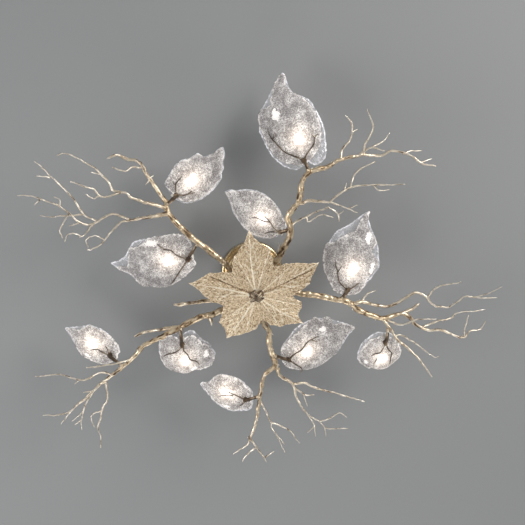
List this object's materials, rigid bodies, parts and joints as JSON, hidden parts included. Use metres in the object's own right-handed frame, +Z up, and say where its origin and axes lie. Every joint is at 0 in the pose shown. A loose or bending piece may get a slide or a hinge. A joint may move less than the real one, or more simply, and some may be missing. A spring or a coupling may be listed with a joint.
{
  "type": "branch chandelier",
  "caption": "Flush ceiling chandelier of cast brass branches round a hub, with glass leaf shades over capsule lamps and a gold maple leaf at the centre.",
  "frame": {"origin": "centre of the canopy at the ceiling face, midway between the two slots of the ceiling strap", "axes": "+Z up out of the ceiling face, +X to the right and -Y to the top of the picture, seen from below"},
  "size_m": [1.24, 1.0439, 0.2286],
  "materials": {
    "bark_gold": "cast bark with a champagne gilt finish, dark brown patina left in the grooves",
    "leaf_gold": "hammered and veined, gold plated, darker along the deep veins",
    "polished_brass": "polished and lacquered",
    "turned_brass": "turned, satin, brown patina",
    "plated_steel": "zinc plated",
    "terminal_plastic": "moulded, matt",
    "front_glass": "fused crushed glass, fibrous, with a bright wavy rim",
    "back_glass": "slumped clear glass, lightly rippled",
    "holder_ceramic": "white glazed steatite",
    "lamp_glass": "clear capsule with a warm filament"
  },
  "bodies": {
    "fixture": {"ceiling_strap": "plated_steel", "terminal_block": "terminal_plastic", "down_tube": "polished_brass", "tube_nuts": "polished_brass", "hub_shell": "turned_brass", "arm_screws": "plated_steel", "hub_cover": "turned_brass", "hub_cover_screws": "plated_steel", "leaf_stud": "turned_brass", "leaf_spacer": "turned_brass", "maple_leaf": "leaf_gold", "leaf_knot": "bark_gold", "arm_upper_left": "bark_gold", "spray_upper_left": "bark_gold", "arm_upper_right": "bark_gold", "spray_upper_right": "bark_gold", "arm_right": "bark_gold", "spray_right": "bark_gold", "arm_bottom": "bark_gold", "spray_bottom": "bark_gold", "arm_lower_left": "bark_gold", "spray_lower_left": "bark_gold", "stub_left": "bark_gold", "shade_cradle_01": "bark_gold", "glass_leaf_01": "front_glass", "back_leaf_01": "back_glass", "shade_cradle_02": "bark_gold", "glass_leaf_02": "front_glass", "back_leaf_02": "back_glass", "shade_cradle_03": "bark_gold", "glass_leaf_03": "front_glass", "back_leaf_03": "back_glass", "shade_cradle_04": "bark_gold", "glass_leaf_04": "front_glass", "back_leaf_04": "back_glass", "shade_cradle_05": "bark_gold", "glass_leaf_05": "front_glass", "back_leaf_05": "back_glass", "shade_cradle_06": "bark_gold", "glass_leaf_06": "front_glass", "back_leaf_06": "back_glass", "shade_cradle_07": "bark_gold", "glass_leaf_07": "front_glass", "back_leaf_07": "back_glass", "shade_cradle_08": "bark_gold", "glass_leaf_08": "front_glass", "back_leaf_08": "back_glass", "shade_cradle_09": "bark_gold", "glass_leaf_09": "front_glass", "back_leaf_09": "back_glass", "shade_cradle_10": "bark_gold", "glass_leaf_10": "front_glass", "back_leaf_10": "back_glass", "lamp_holders": "holder_ceramic", "capsule_lamps": "lamp_glass", "glass_screws": "plated_steel"},
    "canopy_slide": {"canopy": "polished_brass", "canopy_collar": "polished_brass", "canopy_grub_screw": "plated_steel"}
  },
  "joints": [
    {"name": "canopy_drop", "type": "slide", "parent": "fixture", "child": "canopy_slide", "axis": [0, 0, -1], "range_m": [0, 0.085]}
  ]
}
